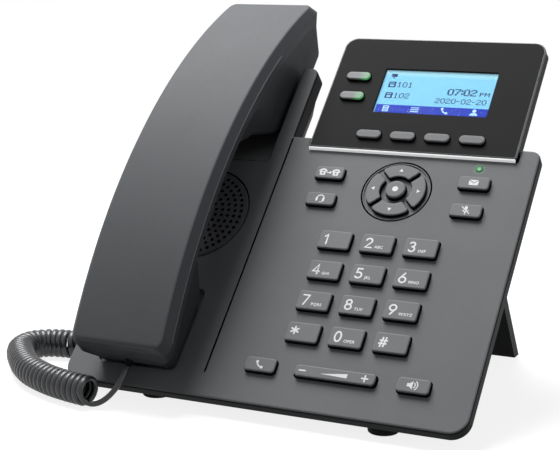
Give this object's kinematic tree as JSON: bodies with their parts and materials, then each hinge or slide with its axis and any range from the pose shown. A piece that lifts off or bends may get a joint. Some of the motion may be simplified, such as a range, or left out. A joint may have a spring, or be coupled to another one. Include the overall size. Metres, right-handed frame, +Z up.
{
  "type": "desk ip phone",
  "caption": "Sloping desk phone with a lit display head, round navigation pad, dial keys, corded handset in a left cradle and a fold-out stand.",
  "frame": {"origin": "middle of the footprint, on the table surface under the feet and the stand", "axes": "+X to the user's right across the keys, +Y away from the user, +Z up"},
  "size_m": [0.2314, 0.168, 0.1626],
  "materials": {
    "face_plastic": "fine moulded texture, grey",
    "dark_plastic": "fine moulded texture, near black",
    "frame_plastic": "fine moulded texture, charcoal",
    "handset_plastic": "fine moulded texture, grey",
    "key_plastic": "smooth satin, light grey",
    "clear_window": "clear, glossy",
    "lit_screen": "glossy, lit from behind",
    "board": "lacquered circuit board",
    "mat_rubber": "moulded silicone",
    "foot_rubber": "moulded rubber",
    "cord_jacket": "satin jacket",
    "clear_plug": "clear moulded plastic",
    "steel": "plain steel",
    "driver_metal": "black painted frame",
    "light_lens": "frosted lens"
  },
  "bodies": {
    "base": {"lower_housing": "dark_plastic", "upper_housing": "face_plastic", "display_frame": "frame_plastic", "display_window": "clear_window", "lcd_module": "lit_screen", "display_board": "board", "main_board": "board", "key_mat": "mat_rubber", "loudspeaker": "driver_metal", "speaker_grille": "face_plastic", "base_microphone": "steel", "message_light": "light_lens", "network_jacks": "dark_plastic", "power_jack": "dark_plastic", "cord_jacks": "dark_plastic", "rubber_feet": "foot_rubber", "housing_screws": "steel", "cord_base_tail": "cord_jacket", "cord_coil": "cord_jacket", "cord_handset_tail": "cord_jacket", "base_plug": "clear_plug"},
    "handset": {"handset_outer_shell": "handset_plastic", "handset_inner_shell": "dark_plastic", "receiver": "driver_metal", "handset_microphone": "steel", "handset_weight": "steel", "handset_jack": "dark_plastic", "handset_plug": "clear_plug"},
    "stand": {"stand": "dark_plastic"},
    "hook": {"hook_switch": "dark_plastic"},
    "volume": {"volume_rocker": "key_plastic"},
    "ok_key": {"ok_key": "key_plastic"},
    "arrow_key_right": {"arrow_key_right": "key_plastic"},
    "arrow_key_up": {"arrow_key_up": "key_plastic"},
    "arrow_key_left": {"arrow_key_left": "key_plastic"},
    "arrow_key_down": {"arrow_key_down": "key_plastic"},
    "soft_key_1": {"soft_key_1": "key_plastic"},
    "soft_key_2": {"soft_key_2": "key_plastic"},
    "soft_key_3": {"soft_key_3": "key_plastic"},
    "soft_key_4": {"soft_key_4": "key_plastic"},
    "line_key_1": {"line_key_1": "key_plastic"},
    "line_key_2": {"line_key_2": "key_plastic"},
    "transfer_key": {"transfer_key": "key_plastic"},
    "headset_key": {"headset_key": "key_plastic"},
    "message_key": {"message_key": "key_plastic"},
    "mute_key": {"mute_key": "key_plastic"},
    "redial_key": {"redial_key": "key_plastic"},
    "speaker_key": {"speaker_key": "key_plastic"},
    "dial_key_1": {"dial_key_1": "key_plastic"},
    "dial_key_2": {"dial_key_2": "key_plastic"},
    "dial_key_3": {"dial_key_3": "key_plastic"},
    "dial_key_4": {"dial_key_4": "key_plastic"},
    "dial_key_5": {"dial_key_5": "key_plastic"},
    "dial_key_6": {"dial_key_6": "key_plastic"},
    "dial_key_7": {"dial_key_7": "key_plastic"},
    "dial_key_8": {"dial_key_8": "key_plastic"},
    "dial_key_9": {"dial_key_9": "key_plastic"},
    "dial_key_star": {"dial_key_star": "key_plastic"},
    "dial_key_0": {"dial_key_0": "key_plastic"},
    "dial_key_hash": {"dial_key_hash": "key_plastic"}
  },
  "joints": [
    {"name": "handset_lift", "type": "slide", "parent": "base", "child": "handset", "axis": [0, -0.7071, 0.7071], "range_m": [0, 0.07]},
    {"name": "stand_fold", "type": "hinge", "parent": "base", "child": "stand", "pos_m": [0, 0.02513, 0.06385], "axis": [1, 0, 0], "range_deg": [-78, 0]},
    {"name": "hook_rise", "type": "slide", "parent": "base", "child": "hook", "axis": [0, -0.7071, 0.7071], "range_m": [0, 0.003]},
    {"name": "volume_tilt", "type": "hinge", "parent": "base", "child": "volume", "pos_m": [0.0323, -0.05598, 0.01711], "axis": [0, 0.7071, 0.7071], "range_deg": [-2.5, 2.5], "stiffness_Nm_per_rad": 0.3},
    {"name": "ok_key_press", "type": "slide", "parent": "base", "child": "ok_key", "axis": [0, 0.7071, -0.7071], "range_m": [0, 0.001], "stiffness_N_per_m": 300, "springref_m": -0.001},
    {"name": "arrow_key_right_press", "type": "slide", "parent": "base", "child": "arrow_key_right", "axis": [0, 0.7071, -0.7071], "range_m": [0, 0.001], "stiffness_N_per_m": 300, "springref_m": -0.001},
    {"name": "arrow_key_up_press", "type": "slide", "parent": "base", "child": "arrow_key_up", "axis": [0, 0.7071, -0.7071], "range_m": [0, 0.001], "stiffness_N_per_m": 300, "springref_m": -0.001},
    {"name": "arrow_key_left_press", "type": "slide", "parent": "base", "child": "arrow_key_left", "axis": [0, 0.7071, -0.7071], "range_m": [0, 0.001], "stiffness_N_per_m": 300, "springref_m": -0.001},
    {"name": "arrow_key_down_press", "type": "slide", "parent": "base", "child": "arrow_key_down", "axis": [0, 0.7071, -0.7071], "range_m": [0, 0.001], "stiffness_N_per_m": 300, "springref_m": -0.001},
    {"name": "soft_key_1_press", "type": "slide", "parent": "base", "child": "soft_key_1", "axis": [0, 0.7071, -0.7071], "range_m": [0, 0.0008], "stiffness_N_per_m": 300, "springref_m": -0.001},
    {"name": "soft_key_2_press", "type": "slide", "parent": "base", "child": "soft_key_2", "axis": [0, 0.7071, -0.7071], "range_m": [0, 0.0008], "stiffness_N_per_m": 300, "springref_m": -0.001},
    {"name": "soft_key_3_press", "type": "slide", "parent": "base", "child": "soft_key_3", "axis": [0, 0.7071, -0.7071], "range_m": [0, 0.0008], "stiffness_N_per_m": 300, "springref_m": -0.001},
    {"name": "soft_key_4_press", "type": "slide", "parent": "base", "child": "soft_key_4", "axis": [0, 0.7071, -0.7071], "range_m": [0, 0.0008], "stiffness_N_per_m": 300, "springref_m": -0.001},
    {"name": "line_key_1_press", "type": "slide", "parent": "base", "child": "line_key_1", "axis": [0, 0.7071, -0.7071], "range_m": [0, 0.0008], "stiffness_N_per_m": 300, "springref_m": -0.001},
    {"name": "line_key_2_press", "type": "slide", "parent": "base", "child": "line_key_2", "axis": [0, 0.7071, -0.7071], "range_m": [0, 0.0008], "stiffness_N_per_m": 300, "springref_m": -0.001},
    {"name": "transfer_key_press", "type": "slide", "parent": "base", "child": "transfer_key", "axis": [0, 0.7071, -0.7071], "range_m": [0, 0.001], "stiffness_N_per_m": 300, "springref_m": -0.001},
    {"name": "headset_key_press", "type": "slide", "parent": "base", "child": "headset_key", "axis": [0, 0.7071, -0.7071], "range_m": [0, 0.001], "stiffness_N_per_m": 300, "springref_m": -0.001},
    {"name": "message_key_press", "type": "slide", "parent": "base", "child": "message_key", "axis": [0, 0.7071, -0.7071], "range_m": [0, 0.001], "stiffness_N_per_m": 300, "springref_m": -0.001},
    {"name": "mute_key_press", "type": "slide", "parent": "base", "child": "mute_key", "axis": [0, 0.7071, -0.7071], "range_m": [0, 0.001], "stiffness_N_per_m": 300, "springref_m": -0.001},
    {"name": "redial_key_press", "type": "slide", "parent": "base", "child": "redial_key", "axis": [0, 0.7071, -0.7071], "range_m": [0, 0.001], "stiffness_N_per_m": 300, "springref_m": -0.001},
    {"name": "speaker_key_press", "type": "slide", "parent": "base", "child": "speaker_key", "axis": [0, 0.7071, -0.7071], "range_m": [0, 0.001], "stiffness_N_per_m": 300, "springref_m": -0.001},
    {"name": "dial_key_1_press", "type": "slide", "parent": "base", "child": "dial_key_1", "axis": [0, 0.7071, -0.7071], "range_m": [0, 0.001], "stiffness_N_per_m": 300, "springref_m": -0.001},
    {"name": "dial_key_2_press", "type": "slide", "parent": "base", "child": "dial_key_2", "axis": [0, 0.7071, -0.7071], "range_m": [0, 0.001], "stiffness_N_per_m": 300, "springref_m": -0.001},
    {"name": "dial_key_3_press", "type": "slide", "parent": "base", "child": "dial_key_3", "axis": [0, 0.7071, -0.7071], "range_m": [0, 0.001], "stiffness_N_per_m": 300, "springref_m": -0.001},
    {"name": "dial_key_4_press", "type": "slide", "parent": "base", "child": "dial_key_4", "axis": [0, 0.7071, -0.7071], "range_m": [0, 0.001], "stiffness_N_per_m": 300, "springref_m": -0.001},
    {"name": "dial_key_5_press", "type": "slide", "parent": "base", "child": "dial_key_5", "axis": [0, 0.7071, -0.7071], "range_m": [0, 0.001], "stiffness_N_per_m": 300, "springref_m": -0.001},
    {"name": "dial_key_6_press", "type": "slide", "parent": "base", "child": "dial_key_6", "axis": [0, 0.7071, -0.7071], "range_m": [0, 0.001], "stiffness_N_per_m": 300, "springref_m": -0.001},
    {"name": "dial_key_7_press", "type": "slide", "parent": "base", "child": "dial_key_7", "axis": [0, 0.7071, -0.7071], "range_m": [0, 0.001], "stiffness_N_per_m": 300, "springref_m": -0.001},
    {"name": "dial_key_8_press", "type": "slide", "parent": "base", "child": "dial_key_8", "axis": [0, 0.7071, -0.7071], "range_m": [0, 0.001], "stiffness_N_per_m": 300, "springref_m": -0.001},
    {"name": "dial_key_9_press", "type": "slide", "parent": "base", "child": "dial_key_9", "axis": [0, 0.7071, -0.7071], "range_m": [0, 0.001], "stiffness_N_per_m": 300, "springref_m": -0.001},
    {"name": "dial_key_star_press", "type": "slide", "parent": "base", "child": "dial_key_star", "axis": [0, 0.7071, -0.7071], "range_m": [0, 0.001], "stiffness_N_per_m": 300, "springref_m": -0.001},
    {"name": "dial_key_0_press", "type": "slide", "parent": "base", "child": "dial_key_0", "axis": [0, 0.7071, -0.7071], "range_m": [0, 0.001], "stiffness_N_per_m": 300, "springref_m": -0.001},
    {"name": "dial_key_hash_press", "type": "slide", "parent": "base", "child": "dial_key_hash", "axis": [0, 0.7071, -0.7071], "range_m": [0, 0.001], "stiffness_N_per_m": 300, "springref_m": -0.001}
  ],
  "couplings": [
    {"joint": "hook_rise", "follows": "handset_lift", "ratio": 0.042857}
  ]
}
